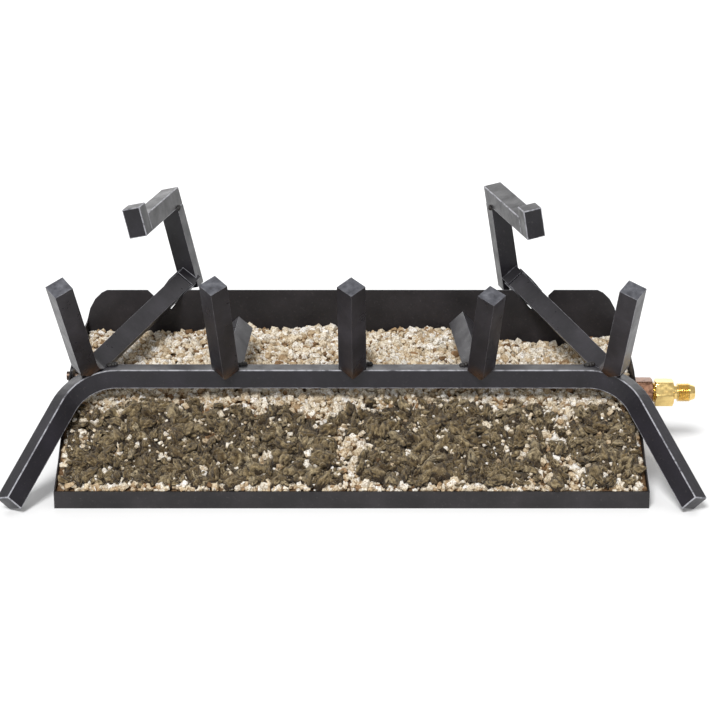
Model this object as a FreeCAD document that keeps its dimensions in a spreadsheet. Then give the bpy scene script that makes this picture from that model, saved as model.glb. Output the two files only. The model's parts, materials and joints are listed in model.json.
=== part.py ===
"""Vented gas-log burner set: pan, burner, loose media, welded log grate and rear supports.

Millimetres, +X to the right (gas inlet side), +Y to the back, +Z up. The drawing origin is the
middle of the pan's front lip on the floor; origin_x and origin_y move it to the middle of the
whole part.
"""
import FreeCAD, Part
import os
import Sketcher

doc = FreeCAD.newDocument("gas_log_burner_set")
sheet = doc.addObject("Spreadsheet::Sheet", "d")

# alias, value or formula, what it is
DIMS = [
    ("origin_x", -5.143, "moves the drawing origin to the middle of the part"),
    ("origin_y", -141.721, "same, front to back"),
    ("stock", 19.05, "square bar, 3/4 in"),
    ("half_bar", "=stock / 2", "half of the bar"),
    # front bar
    ("front_face_y", 82.5, "front face of the front bar behind the lip"),
    ("front_top_z", 111.7, "top face of the front bar"),
    ("leg_bend", 67.0, "bend of each leg"),
    ("leg_plane", 48.5, "tilt of the legs' bend plane"),
    ("leg_corner_x", 266.1, "where bar and leg axes meet"),
    ("leg_radius", 55.0, "bend radius at the axis"),
    ("leg_drop", "=sin(leg_bend) * cos(leg_plane)", "drop per mm of leg"),
    ("leg_end_low", "=half_bar * (cos(leg_bend) + (1 - cos(leg_bend)) * sin(leg_plane)^2"
                    " + sin(leg_plane) * cos(leg_plane) * (1 - cos(leg_bend)))", "end corner under the axis"),
    ("leg_length", "=(front_top_z - half_bar - leg_end_low) / leg_drop", "axis corner to cut end"),
    # tines
    ("tine_radius", 22.0, "bend radius of every tine"),
    ("outer_left_x", -258.5, "axis corner of the left outer tine"),
    ("outer_left_y", 85.5, ""), ("outer_left_z", 107.3, ""),
    ("outer_left_yaw", 67.27, "direction of the left arm"), ("outer_left_pitch", -10.2, ""),
    ("outer_left_roll", 5.44, ""), ("outer_left_section", 32.9, "roll of the square in the bend"),
    ("outer_left_bend", 68.8, ""), ("outer_left_rise", 124.5, "axis corner to tip"),
    ("outer_left_arm", 203.8, "axis corner to arm end"),
    ("outer_right_x", 256.0, "axis corner of the right outer tine"),
    ("outer_right_y", 84.7, ""), ("outer_right_z", 105.3, ""),
    ("outer_right_yaw", 113.0, "direction of the right arm"), ("outer_right_pitch", -10.8, ""),
    ("outer_right_roll", -7.49, ""), ("outer_right_section", -34.3, ""),
    ("outer_right_bend", 72.8, ""), ("outer_right_rise", 118.3, ""),
    ("outer_right_arm", 206.9, ""),
    ("inner_left_x", -122.5, "axis corner of the left inner tine"),
    ("inner_left_y", 84.1, ""), ("inner_left_z", 105.2, ""),
    ("inner_left_yaw", 84.22, ""), ("inner_left_pitch", -14.17, ""), ("inner_left_roll", -0.61, ""),
    ("inner_left_bend", 75.6, ""), ("inner_left_rise", 123.8, ""), ("inner_left_arm", 90.6, ""),
    ("centre_x", 0.6, "axis corner of the centre tine"),
    ("centre_y", 84.2, ""), ("centre_z", 106.8, ""),
    ("centre_yaw", 90.0, ""), ("centre_pitch", -11.47, ""), ("centre_roll", -0.5, ""),
    ("centre_bend", 74.4, ""), ("centre_rise", 117.1, ""), ("centre_arm", 80.7, ""),
    ("inner_right_x", 125.1, "axis corner of the right inner tine"),
    ("inner_right_y", 84.1, ""), ("inner_right_z", 104.3, ""),
    ("inner_right_yaw", 96.11, ""), ("inner_right_pitch", -8.59, ""), ("inner_right_roll", 0.6, ""),
    ("inner_right_bend", 69.8, ""), ("inner_right_rise", 112.1, ""), ("inner_right_arm", 120.6, ""),
    ("edge_section", 45.0, "square set on its corner"),
    ("tip_z", 105.0, "lowest point of a tine in front of the bar"),
    ("tip_slope", 0.6, "rise per mm of the flattened bend to both sides"),
    ("weld_r", 6.0, "weld bead radius at the tines"),
    # rear supports: top of the post on its axis, then directions
    ("rear_left_x", -193.8, ""), ("rear_left_y", 292.2, ""), ("rear_left_z", 240.2, "top face"),
    ("rear_left_yaw", -12.8, ""), ("rear_left_pitch", -13.36, ""), ("rear_left_roll", 1.35, ""),
    ("rear_left_reach", 95.0, "post axis to the stop block"),
    ("rear_right_x", 148.3, ""), ("rear_right_y", 283.5, ""), ("rear_right_z", 246.7, "top face"),
    ("rear_right_yaw", 14.4, ""), ("rear_right_pitch", -10.25, ""), ("rear_right_roll", 2.56, ""),
    ("rear_right_reach", 106.0, "post axis to the stop block"),
    ("post_length", 106.0, "top face to the foot of the post"),
    ("post_length_right", 113.0, "same on the right"),
    ("stop_rise", 11.5, "stop block above the top arm"),
    ("stub_gap", 1.5, "seam between arm end and stub"),
    ("stub_length", 19.6, "stub under the post"),
    ("stub_over", 0.4, "stub wider than the bar on each side"),
    ("saddle_sheet", 1.5, "saddle sheet"),
    ("saddle_front_left", 16.0, "left saddle in front of the seam"),
    ("saddle_front_right", 19.0, "right saddle in front of the seam"),
    ("saddle_back", 9.0, "saddle behind the seam"),
    ("saddle_top", 8.6, "saddle sides above the arm axis"),
    # pan
    ("sheet_t", 1.2, "pan sheet"),
    ("pan_front_half", 284.0, "half width at the lip"),
    ("pan_back_half", 277.0, "half width at the back"),
    ("pan_depth", 247.0, "lip to back panel"),
    ("lip_h", 16.8, "front lip height"),
    ("lip_hem", 6.0, "hem folded inside the lip"),
    ("pan_taper", "=atan((pan_front_half - pan_back_half) / pan_depth)", "angle of each side wall"),
    ("wall_len", "=pan_depth / cos(pan_taper)", "length of each side wall"),
    ("back_top", 144.9, "height of the back panel"),
    ("wing_side", 112.0, "height where the wing curve starts"),
    ("wing_top", 256.0, "half width where the wing curve ends"),
    ("notch_floor", 124.5, "notch bottom"), ("notch_side", 136.4, "foot of its outer side"),
    ("notch_chamfer", 6.0, "45 degree chamfer of the outer side"),
    ("notch_inner_chamfer", 3.7, "same at the inner side"),
    ("notch_l_out", 207.0, "left notch, outer side"), ("notch_l_in", 175.2, "left notch, inner side"),
    ("notch_l_low", 188.6, "left notch, inner end of its bottom"),
    ("notch_r_out", 203.8, "right notch, outer side"), ("notch_r_in", 170.9, "right notch, inner side"),
    ("notch_r_low", 185.8, "right notch, inner end of its bottom"),
    ("wool_half", 269.0, "half width of the loose wool"),
    # burner line
    ("line_y", 165.0, "burner axis behind the lip"),
    ("line_z", 60.5, "burner axis height"),
    ("tube_r", 10.65, "burner tube radius, 1/2 in pipe"),
    ("tube_bore_r", 7.9, "inside radius"),
    ("tube_left", -262.0, "closed end of the tube"),
    ("tube_right", 286.0, "end of the tube in the coupling"),
    ("port_r", 1.6, "gas port"),
    ("port_pitch", 26.0, "between ports"),
    ("hole_clear", 0.5, "wall hole around the tube"),
    ("coupling_x", 280.6, "coupling start"), ("coupling_end", 304.4, "coupling end"),
    ("coupling_r", 15.9, "hexagon corner radius"),
    ("nipple_r", 10.2, "thread between coupling and connector"),
    ("nipple_end", 306.9, "where the connector hexagon starts"),
    ("flare_hex_end", 325.9, "connector hexagon end"),
    ("flare_hex_r", 14.66, "25.4 mm across flats"),
    ("flare_neck_r", 7.0, "neck"), ("flare_neck_end", 330.0, ""),
    ("flare_thread_r", 9.525, "3/4 in flare thread"), ("flare_thread_end", 342.4, ""),
    ("flare_nose_r", 6.4, "end of the 45 degree seat"), ("flare_end", 347.9, ""),
    ("flare_bore_r", 5.5, "gas way"),
    ("locknut_r", 17.3, "locknut corner radius"), ("locknut_w", 6.0, "locknut width"),
    ("tab_t", 2.0, "tab at the closed end of the tube"),
    ("screw_y", 130.0, "side screw behind the lip"), ("screw_z", 90.0, "side screw height"),
]


def fill_sheet():
    for row, (alias, value, note) in enumerate(DIMS, start=1):
        sheet.set("A%d" % row, alias)
        sheet.set("B%d" % row, str(value))
        sheet.set("C%d" % row, note)
        sheet.setAlias("B%d" % row, alias)
    doc.recompute()


fill_sheet()


def frame(x, y, z, yaw=0, pitch=0, roll=0):
    """Expression of a frame placed in the pan's coordinates."""
    return ("placement(vector(d.origin_x + (%s); d.origin_y + (%s); %s); rotation(%s; %s; %s))"
            % (x, y, z, yaw, pitch, roll))


def local(base, x, y, z, turn="rotation(0; 0; 0)"):
    return "%s * placement(vector(%s; %s; %s); %s)" % (base, x, y, z, turn)


WORLD = frame(0, 0, 0)
ALONG_X = "rotation(0; 90; 0)"
UPRIGHT_XZ = "rotation(vector(1; 0; 0); 90)"
PLANE_YZ = "rotation(vector(1; 1; 1); 120)"


def set_all(obj, **values):
    for name, value in values.items():
        obj.setExpression(name, str(value))


def box(name, base, corner, size):
    obj = doc.addObject("Part::Box", name)
    set_all(obj, Length=size[0], Width=size[1], Height=size[2], Placement=local(base, *corner))
    return obj


def cylinder(name, base, at, radius, length, turn=ALONG_X):
    obj = doc.addObject("Part::Cylinder", name)
    set_all(obj, Radius=radius, Height=length, Placement=local(base, *at, turn=turn))
    return obj


def hexagon(name, base, at, radius, length, spin=0):
    obj = doc.addObject("Part::Prism", name)
    obj.Polygon = 6
    set_all(obj, Circumradius=radius, Height=length,
            Placement=local(base, *at, turn="%s * rotation(%s; 0; 0)" % (ALONG_X, spin)))
    return obj


def sphere(name, base, at, radius):
    obj = doc.addObject("Part::Sphere", name)
    set_all(obj, Radius=radius, Placement=local(base, *at))
    return obj


def outline(name, placement, points):
    """Closed sketch through points given as expressions."""
    obj = doc.addObject("Sketcher::SketchObject", name)
    obj.setExpression("Placement", placement)
    n = len(points)
    ring = [FreeCAD.Rotation(FreeCAD.Vector(0, 0, 1), 360.0 * k / n).multVec(FreeCAD.Vector(90, 0, 0))
            for k in range(n)]
    for k in range(n):
        obj.addGeometry(Part.LineSegment(ring[k], ring[(k + 1) % n]), False)
    for k in range(n):
        obj.addConstraint(Sketcher.Constraint("Coincident", k, 2, (k + 1) % n, 1))
    for k, point in enumerate(points):
        for kind, value in zip(("DistanceX", "DistanceY"), point):
            start = ring[k].x if kind == "DistanceX" else ring[k].y
            index = obj.addConstraint(Sketcher.Constraint(kind, -1, 1, k, 1, start))
            obj.setExpression("Constraints[%d]" % index, str(value))
    return obj


def extrude(name, sketch, ahead, behind=0):
    obj = doc.addObject("Part::Extrusion", name)
    obj.Base = sketch
    obj.DirMode = "Normal"
    obj.Solid = True
    set_all(obj, LengthFwd=ahead, LengthRev=behind)
    return obj


def fuse(name, *shapes):
    obj = doc.addObject("Part::MultiFuse", name)
    obj.Shapes = list(shapes)
    obj.Refine = True
    return obj


def cut(name, base, *tools):
    """base less every tool, one after another."""
    for k, tool in enumerate(tools):
        obj = doc.addObject("Part::Cut", name if k == len(tools) - 1 else "%s_cut%d" % (name, k))
        obj.Base, obj.Tool = base, tool
        obj.Refine = True
        base = obj
    return base


def common(name, base, tool):
    obj = doc.addObject("Part::Common", name)
    obj.Base, obj.Tool = base, tool
    return obj


def bent_bar(name, base, arm, rise, bend, radius, section):
    """Square bar: arm along +X, bent up about Y, then the rise. base is at the axis corner."""
    corners = [("d.stock * sqrt(0.5) * cos(%s + %d)" % (section, 45 + 90 * k),
                "d.stock * sqrt(0.5) * sin(%s + %d) - %s" % (section, 45 + 90 * k, radius))
               for k in range(4)]
    tangent = "%s * tan(%s / 2)" % (radius, bend)
    foot = outline(name + "_foot", "placement(vector(0; 0; 0); %s)" % PLANE_YZ, corners)
    head = outline(name + "_head", "placement(vector(0; 0; 0); rotation(vector(0; 1; 0); %s) * %s)"
                   % (bend, PLANE_YZ), corners)
    straight = extrude(name + "_arm", foot, "%s - %s" % (arm, tangent))
    upright = extrude(name + "_rise", head, 0, "%s - %s" % (rise, tangent))
    turn = doc.addObject("Part::Revolution", name + "_turn")
    turn.Source = foot
    turn.Axis, turn.Base = FreeCAD.Vector(0, 1, 0), FreeCAD.Vector(0, 0, 0)
    turn.Solid = True
    turn.setExpression("Angle", bend)
    whole = fuse(name, straight, turn, upright)
    whole.setExpression("Placement", local(base, tangent, 0, radius))
    return whole


nodes = []


def node(obj, label):
    obj.Label = label
    nodes.append(obj)
    return obj


# ---- pan -------------------------------------------------------------------------------------
floor_plan = [("-d.pan_front_half", 0), ("d.pan_front_half", 0),
              ("d.pan_back_half", "d.pan_depth"), ("-d.pan_back_half", "d.pan_depth")]
floor = extrude("pan_floor", outline("floor_plan", WORLD, floor_plan), "d.sheet_t")
lip = box("lip", WORLD, ("-d.pan_front_half", 0, 0), ("2 * d.pan_front_half", "d.sheet_t", "d.lip_h"))
hem = box("hem", WORLD, ("-d.pan_front_half + d.sheet_t", "d.sheet_t", "d.lip_h - d.lip_hem"),
          ("2 * (d.pan_front_half - d.sheet_t)", "d.sheet_t", "d.lip_hem"))
SIDE = [(0, 0), (0, "d.lip_h"), (30, 35), (60, 57), (97, 83), (125, 98), (155, 107),
        ("d.wall_len", "d.wing_side"), ("d.wall_len", 0)]


def side_wall(name, side):
    angle = "%d * d.pan_taper" % side
    base = frame("%d * d.pan_front_half" % side, 0, 0, angle)
    sketch = outline(name + "_outline", local(base, 0, 0, 0, PLANE_YZ), SIDE)
    inward = extrude(name, sketch, 0 if side > 0 else "d.sheet_t", "d.sheet_t" if side > 0 else 0)
    return inward


left_wall, right_wall = side_wall("left_wall", -1), side_wall("right_wall", 1)
line_hole = cylinder("line_hole", WORLD, (270, "d.line_y", "d.line_z"), "d.tube_r + d.hole_clear", 20)
screw_hole = cylinder("screw_hole", WORLD, (-290, "d.screw_y", "d.screw_z"), 2.6, 20)
pan_sheet = fuse("pan_sheet", floor, lip, hem, left_wall, right_wall)
pan = node(cut("pan", pan_sheet, line_hole, screw_hole), "burner_pan")

plan = [("-d.pan_back_half", 0), ("d.pan_back_half", 0), ("d.pan_back_half", "d.wing_side"),
        ("d.pan_back_half - 3.5", "d.wing_side + 13"), ("d.pan_back_half - 9", "d.wing_side + 23"),
        ("d.wing_top + 5", "d.back_top - 3"), ("d.wing_top - 1", "d.back_top")]
for side, key in ((1, "d.notch_r_"), (-1, "d.notch_l_")):
    mouth = [(key + "out + d.notch_chamfer", "d.back_top"), (key + "out", "d.back_top - d.notch_chamfer"),
             (key + "out", "d.notch_side"), (key + "low + 1.2", "d.notch_floor"),
             (key + "low", "d.notch_floor"), (key + "in", "d.back_top - d.notch_inner_chamfer"),
             (key + "in - d.notch_inner_chamfer", "d.back_top")]
    plan += mouth if side > 0 else [("-(%s)" % x, z) for x, z in reversed(mouth)]
plan += [("-(d.wing_top - 1)", "d.back_top"), ("-(d.wing_top + 5)", "d.back_top - 3"),
         ("-(d.pan_back_half - 9)", "d.wing_side + 23"), ("-(d.pan_back_half - 3.5)", "d.wing_side + 13"),
         ("-d.pan_back_half", "d.wing_side")]
back_frame = frame(0, "d.pan_depth", 0) + " * placement(vector(0; 0; 0); %s)" % UPRIGHT_XZ
node(extrude("back_sheet", outline("back_outline", back_frame, plan), 0, "d.sheet_t"), "back_panel")

# ---- burner line -----------------------------------------------------------------------------
AXIS = ("d.line_y", "d.line_z")


def on_line(name, start, end, radius):
    return cylinder(name, WORLD, (start,) + AXIS, radius, "%s - (%s)" % (end, start))


tube_solid = on_line("tube_solid", "d.tube_left", "d.tube_right", "d.tube_r")
tube_bore = on_line("tube_bore", "d.tube_left + 3", "d.tube_right", "d.tube_bore_r")
ports = [cylinder("port_%d" % k, WORLD, ("d.tube_left + 30 + %d * d.port_pitch" % k, "d.line_y", "d.line_z"),
                  "d.port_r", 14, "rotation(0; 0; 0)") for k in range(19)]
node(cut("tube", tube_solid, tube_bore, fuse("ports", *ports)), "burner_tube")

spud_body = on_line("spud_body", "d.tube_right - 22", "d.tube_right - 8", "d.tube_bore_r")
spud_jet = on_line("spud_jet", "d.tube_right - 23", "d.tube_right - 7", 1.1)
node(cut("spud", spud_body, spud_jet), "orifice_spud")

nut_hex = hexagon("nut_hex", WORLD, ("d.coupling_x - 16.5",) + AXIS, "d.locknut_r", "d.locknut_w")
node(cut("locknut", nut_hex, tube_solid), "tube_locknut")

coupling_hex = hexagon("coupling_hex", WORLD, ("d.coupling_x",) + AXIS, "d.coupling_r",
                       "d.coupling_end - d.coupling_x")
coupling_bore = on_line("coupling_bore", "d.coupling_x - 1", "d.coupling_end + 1", "d.nipple_r")
node(cut("coupling", coupling_hex, coupling_bore, tube_solid), "hex_coupling")

nipple_body = on_line("nipple_body", "d.tube_right", "d.flare_hex_end - 6", "d.nipple_r")
nipple_bore = on_line("nipple_bore", "d.tube_right - 1", "d.flare_hex_end", "d.flare_bore_r")
node(cut("nipple", nipple_body, nipple_bore), "close_nipple")

flare_hex = hexagon("flare_hex", WORLD, ("d.nipple_end",) + AXIS, "d.flare_hex_r",
                    "d.flare_hex_end - d.nipple_end", 30)
flare_neck = on_line("flare_neck", "d.flare_hex_end - 1", "d.flare_neck_end + 1", "d.flare_neck_r")
flare_thread = on_line("flare_thread", "d.flare_neck_end", "d.flare_thread_end", "d.flare_thread_r")
flare_nose = doc.addObject("Part::Cone", "flare_nose")
set_all(flare_nose, Radius1="d.flare_thread_r - 0.6", Radius2="d.flare_nose_r",
        Height="d.flare_end - d.flare_thread_end",
        Placement=local(WORLD, "d.flare_thread_end", *AXIS, turn=ALONG_X))
flare_body = fuse("flare_body", flare_hex, flare_neck, flare_thread, flare_nose)
flare_way = on_line("flare_way", "d.nipple_end - 1", "d.flare_end + 1", "d.flare_bore_r")
node(cut("flare", flare_body, flare_way, nipple_body), "flare_connector")

brackets = []
for name, x in (("left", -180), ("right", 180)):
    plate = box("bracket_plate_" + name, WORLD, (x, "d.line_y - 16", "d.sheet_t"), (2, 32, "d.line_z + 2"))
    foot = box("bracket_foot_" + name, WORLD, (x, "d.line_y - 16", "d.sheet_t"), (22, 32, 2))
    rest = cut("bracket_rest_" + name, fuse("bracket_" + name, plate, foot), tube_solid)
    brackets.append(node(rest, "tube_bracket_" + name))

tab_base = frame("-d.pan_front_half", 0, 0, "-d.pan_taper")
tab = box("tab", tab_base, ("d.sheet_t", "d.screw_y - 9", "d.line_z - 6"),
          ("d.tab_t", "d.line_y - d.screw_y + 15", "d.screw_z - d.line_z + 14"))
tab_arm = box("tab_arm", WORLD, ("-d.pan_front_half + 7.4", "d.line_y - 6", "d.line_z - 1"),
              ("d.tube_left + d.pan_front_half - 7.4", 12, "d.tab_t"))
tab_whole = cut("tab_whole", fuse("tab_body", tab, tab_arm), screw_hole)
node(tab_whole, "tube_end_tab")
screw_shank = cylinder("screw_shank", WORLD, (-284.3, "d.screw_y", "d.screw_z"), 2.4, 10)
screw_head = cylinder("screw_head", WORLD, (-284.3, "d.screw_y", "d.screw_z"), 4.4, 3.6)
node(fuse("side_screw", screw_shank, screw_head), "side_screw")

# ---- loose media -----------------------------------------------------------------------------
inner_plan = [("-(d.pan_front_half - d.sheet_t - 0.3)", "2 * d.sheet_t + 0.1"),
              ("d.pan_front_half - d.sheet_t - 0.3", "2 * d.sheet_t + 0.1"),
              ("d.pan_back_half - d.sheet_t - 0.3", "d.pan_depth - 0.2"),
              ("-(d.pan_back_half - d.sheet_t - 0.3)", "d.pan_depth - 0.2")]
inside = extrude("inside", outline("inner_plan", WORLD, inner_plan), 130)
BED_TOP = [(2, 15.5), (30, 33), (60, 54), (97, 77), (140, 89), (190, 95), ("d.pan_depth", 98)]
bed_side = [(2, "d.sheet_t")] + BED_TOP + [("d.pan_depth", "d.sheet_t")]
bed_block = extrude("bed_block", outline("bed_side", local(frame(-300, 0, 0), 0, 0, 0, PLANE_YZ),
                                         bed_side), 600)
bed_raw = common("bed_raw", bed_block, inside)
hollow = fuse("hollow", tube_solid, nut_hex, brackets[0], brackets[1], tab, tab_arm, screw_shank)
node(cut("bed", bed_raw, hollow), "vermiculite_bed")

WOOL_TOP = [(14, 30), (30, 40), (60, 61), (97, 83)]
wool_side = [(14, 23.1)] + [(30, 33.1), (60, 54.1), (97, 77.1)] + list(reversed(WOOL_TOP))
wool_block = extrude("wool_block", outline("wool_side", local(frame("-d.wool_half", 0, 0), 0, 0, 0, PLANE_YZ),
                                           wool_side), "2 * d.wool_half")
node(common("wool", wool_block, inside), "ember_wool")

# ---- welded grate ----------------------------------------------------------------------------
bar_axis = ("d.front_face_y + d.half_bar", "d.front_top_z - d.half_bar")
right_leg = bent_bar("right_leg", frame("d.leg_corner_x", *bar_axis, 180, 0, "-(180 - d.leg_plane)"),
                     "d.leg_corner_x", "d.leg_length", "d.leg_bend", "d.leg_radius", "(90 - d.leg_plane)")
left_leg = bent_bar("left_leg", frame("-d.leg_corner_x", *bar_axis, 0, 0, "180 - d.leg_plane"),
                    "d.leg_corner_x", "d.leg_length", "d.leg_bend", "d.leg_radius", "-(90 - d.leg_plane)")
front_bar = node(fuse("front", right_leg, left_leg), "front_bar")

# name, node, section, weld beside the tine, lowest point beside the corner
TINES = [("outer_left", "outer_tine_left", "d.outer_left_section", 23, 7),
         ("inner_left", "inner_tine_left", "d.edge_section", 14, 1),
         ("centre", "centre_tine", "d.edge_section", 14, 1),
         ("inner_right", "inner_tine_right", "d.edge_section", -14, -1),
         ("outer_right", "outer_tine_right", "d.outer_right_section", -23, -7)]


def under_tip(name, x):
    """What is taken off under the bend, in front of the bar, leaving a wide V."""
    reach = 24
    corners = [(0, 0), (reach, "%d * d.tip_slope" % reach), (reach, -reach),
               (-reach, -reach), (-reach, "%d * d.tip_slope" % reach)]
    face = frame(x, "d.front_face_y", "d.tip_z") + " * placement(vector(0; 0; 0); %s)" % UPRIGHT_XZ
    return extrude(name, outline(name + "_v", face, corners), 40)


bars = {}
for key, label, section, weld_at, tip_at in TINES:
    p = "d." + key + "_"
    base = frame(p + "x", p + "y", p + "z", p + "yaw", p + "pitch", p + "roll")
    whole = bent_bar(key + "_bar", base, p + "arm", p + "rise", p + "bend", "d.tine_radius", section)
    tip = under_tip(key + "_tip", "%sx + %d" % (p, tip_at))
    bars[key] = node(cut(key + "_tine", whole, tip, front_bar), label)
    bead = sphere(key + "_bead", WORLD, (p + "x + %d" % weld_at, "d.front_face_y + d.stock - 3.5",
                                         "d.front_top_z - 0.5"), "d.weld_r")
    node(cut(key + "_weld", bead, front_bar, bars[key]), label.replace("tine", "weld"))

# ---- rear supports ---------------------------------------------------------------------------
for side, length in (("left", "d.post_length"), ("right", "d.post_length_right")):
    p, q = "d.rear_%s_" % side, "d.outer_%s_" % side
    base = frame(p + "x", p + "y", p + "z", p + "yaw", p + "pitch", p + "roll")
    arm_base = frame(q + "x", q + "y", q + "z", q + "yaw", q + "pitch",
                     "%sroll + %ssection" % (q, q))
    h = "d.half_bar"
    post = box("post_" + side, base, ("-" + h, "-" + h, "-" + length),
               ("d.stock", "d.stock", "%s - d.stock" % length))
    seam = q + "arm + d.stub_gap"
    wide = "(%s + d.stub_over)" % h
    stub = box("stub_" + side, arm_base, (seam, "-" + wide, "-" + wide),
               ("d.stub_length", "2 * " + wide, "2 * " + wide))
    foot = node(fuse("foot_" + side, post, stub), "rear_post_" + side)
    node(box("reach_" + side, base, ("-" + h, "-(%sreach)" % p, "-d.stock"),
             ("d.stock", "%sreach + %s" % (p, h), "d.stock")), "rear_arm_" + side)
    node(box("stopper_" + side, base, ("-" + h, "-(%sreach + d.stock)" % p, "-d.stock"),
             ("d.stock", "d.stock", "d.stock + d.stop_rise")), "rear_stop_" + side)
    outer = box("saddle_outer_" + side, arm_base,
                ("%sarm - d.saddle_front_%s" % (q, side), "-(%s + d.saddle_sheet)" % wide,
                 "-(%s + d.saddle_sheet)" % wide),
                ("d.saddle_front_%s + d.saddle_back" % side, "2 * (%s + d.saddle_sheet)" % wide,
                 "%s + d.saddle_sheet + d.saddle_top" % wide))
    inner = box("saddle_inner_" + side, arm_base,
                ("%sarm - d.saddle_front_%s - 1" % (q, side), "-" + wide, "-" + wide),
                ("d.saddle_front_%s + d.saddle_back + 2" % side, "2 * " + wide, 40))
    node(cut("saddle_" + side, outer, inner, foot), "rear_saddle_" + side)
    sign = 1 if side == "left" else -1
    bead = sphere("rear_bead_" + side, base, ("%d * %s" % (sign, h), "-%s + 2.5" % h, "-d.stock"), 3.2)
    node(cut("rear_weld_cut_" + side, bead, foot, doc.getObject("reach_" + side)),
         "rear_weld_" + side)

doc.recompute()
os.makedirs("parts", exist_ok=True)
bad = [o.Name for o in doc.Objects if "Invalid" in o.State or "Error" in o.State]
box_all = FreeCAD.BoundBox()
for obj in nodes:
    shape = obj.Shape
    ok = obj.Name not in bad and not shape.isNull() and shape.isValid() and len(shape.Solids) >= 1
    print("%-20s ok=%s solids=%d volume=%.0f z %.2f..%.2f" % (
        obj.Label, ok, len(shape.Solids), shape.Volume, shape.BoundBox.ZMin, shape.BoundBox.ZMax))
    if not ok:
        bad.append(obj.Name)
    box_all.add(shape.optimalBoundingBox())
    shape.exportStep("parts/%s.step" % obj.Label)
print("nodes", len(nodes), "bad", bad)
print("x %.3f..%.3f y %.3f..%.3f z %.3f..%.3f" % (
    box_all.XMin, box_all.XMax, box_all.YMin, box_all.YMax, box_all.ZMin, box_all.ZMax))
if bad:
    raise RuntimeError("bad objects: %s" % bad)
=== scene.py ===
"""Looks of a vented gas log burner set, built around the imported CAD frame.

Metres, in the row frame: +X to the gas inlet, +Y to the back of the fireplace, +Z up.
"""

import json
import math

import bmesh
import bpy
import numpy as np
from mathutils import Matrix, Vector, noise
from mathutils.bvhtree import BVHTree


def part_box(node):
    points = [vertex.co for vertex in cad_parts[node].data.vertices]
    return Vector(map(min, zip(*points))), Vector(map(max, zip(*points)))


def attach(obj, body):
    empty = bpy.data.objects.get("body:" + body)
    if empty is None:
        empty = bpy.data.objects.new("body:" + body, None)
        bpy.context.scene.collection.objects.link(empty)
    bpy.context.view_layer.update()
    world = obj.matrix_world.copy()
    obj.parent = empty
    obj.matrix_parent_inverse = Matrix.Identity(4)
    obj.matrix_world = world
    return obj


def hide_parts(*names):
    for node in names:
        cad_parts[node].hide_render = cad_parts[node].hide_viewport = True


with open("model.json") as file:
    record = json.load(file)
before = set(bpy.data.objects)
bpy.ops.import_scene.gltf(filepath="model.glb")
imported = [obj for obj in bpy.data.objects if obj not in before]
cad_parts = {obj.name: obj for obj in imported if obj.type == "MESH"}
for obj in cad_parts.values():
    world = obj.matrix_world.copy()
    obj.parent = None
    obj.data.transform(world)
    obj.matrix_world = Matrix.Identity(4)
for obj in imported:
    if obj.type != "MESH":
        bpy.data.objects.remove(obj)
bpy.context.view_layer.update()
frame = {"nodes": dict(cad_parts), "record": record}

MM = 0.001
SEED = 7
GRATE_NODES = frame["record"]["behaviour"]["bodies"]["grate"]
REAR_NODES = [name for name in frame["nodes"] if name.startswith("rear_")]

PAN_LOW, PAN_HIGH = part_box("burner_pan")
SHEET = 1.2 * MM
PAN_DEPTH = 247 * MM
PAN_MIDDLE = (PAN_LOW.x + PAN_HIGH.x) / 2
PAN_FRONT = PAN_LOW.y
WALL_FRONT_HALF = (PAN_HIGH.x - PAN_LOW.x) / 2
WALL_BACK_HALF = WALL_FRONT_HALF - 7 * MM


# ---- small helpers -----------------------------------------------------------------------------

def mesh_object(name, vertices, faces, smooth=False):
    """A mesh object from its vertices and faces of any number of corners."""
    mesh = bpy.data.meshes.new(name)
    mesh.from_pydata([tuple(v) for v in vertices], [], [tuple(f) for f in faces])
    mesh.polygons.foreach_set("use_smooth", [smooth] * len(mesh.polygons))
    mesh.update()
    obj = bpy.data.objects.new(name, mesh)
    bpy.context.scene.collection.objects.link(obj)
    return obj


def triangle_object(name, vertices, triangles, smooth=False):
    """The same from numpy arrays of triangles, fast enough for hundreds of thousands."""
    mesh = bpy.data.meshes.new(name)
    mesh.vertices.add(len(vertices))
    mesh.vertices.foreach_set("co", np.asarray(vertices, np.float32).ravel())
    mesh.loops.add(3 * len(triangles))
    mesh.loops.foreach_set("vertex_index", np.asarray(triangles, np.int32).ravel())
    mesh.polygons.add(len(triangles))
    mesh.polygons.foreach_set("loop_start", np.arange(0, 3 * len(triangles), 3, dtype=np.int32))
    mesh.polygons.foreach_set("use_smooth", np.full(len(triangles), smooth))
    mesh.update(calc_edges=True)
    mesh.validate()
    obj = bpy.data.objects.new(name, mesh)
    bpy.context.scene.collection.objects.link(obj)
    return obj


def point_attribute(obj, name, values):
    """Stores one number per vertex, for a material to read."""
    layer = obj.data.attributes.new(name, "FLOAT", "POINT")
    layer.data.foreach_set("value", np.asarray(values, np.float32))


def declare(obj, body, node):
    """Says which body a new piece rides on, and the CAD node it stands for."""
    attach(obj, body)
    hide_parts(node)


def rotations(count, rng):
    """Random rotation matrices, evenly spread."""
    q = rng.normal(size=(count, 4))
    q /= np.linalg.norm(q, axis=1, keepdims=True)
    w, x, y, z = q.T
    return np.stack([
        np.stack([1 - 2 * (y * y + z * z), 2 * (x * y - z * w), 2 * (x * z + y * w)], -1),
        np.stack([2 * (x * y + z * w), 1 - 2 * (x * x + z * z), 2 * (y * z - x * w)], -1),
        np.stack([2 * (x * z - y * w), 2 * (y * z + x * w), 1 - 2 * (x * x + y * y)], -1)], 1)


def smoothstep(low, high, value):
    """0 at low and 1 at high, with a soft start and end; low may be the larger of the two."""
    t = np.clip((np.asarray(value, float) - low) / (high - low), 0, 1)
    return t * t * (3 - 2 * t)


# ---- materials ---------------------------------------------------------------------------------

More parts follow.
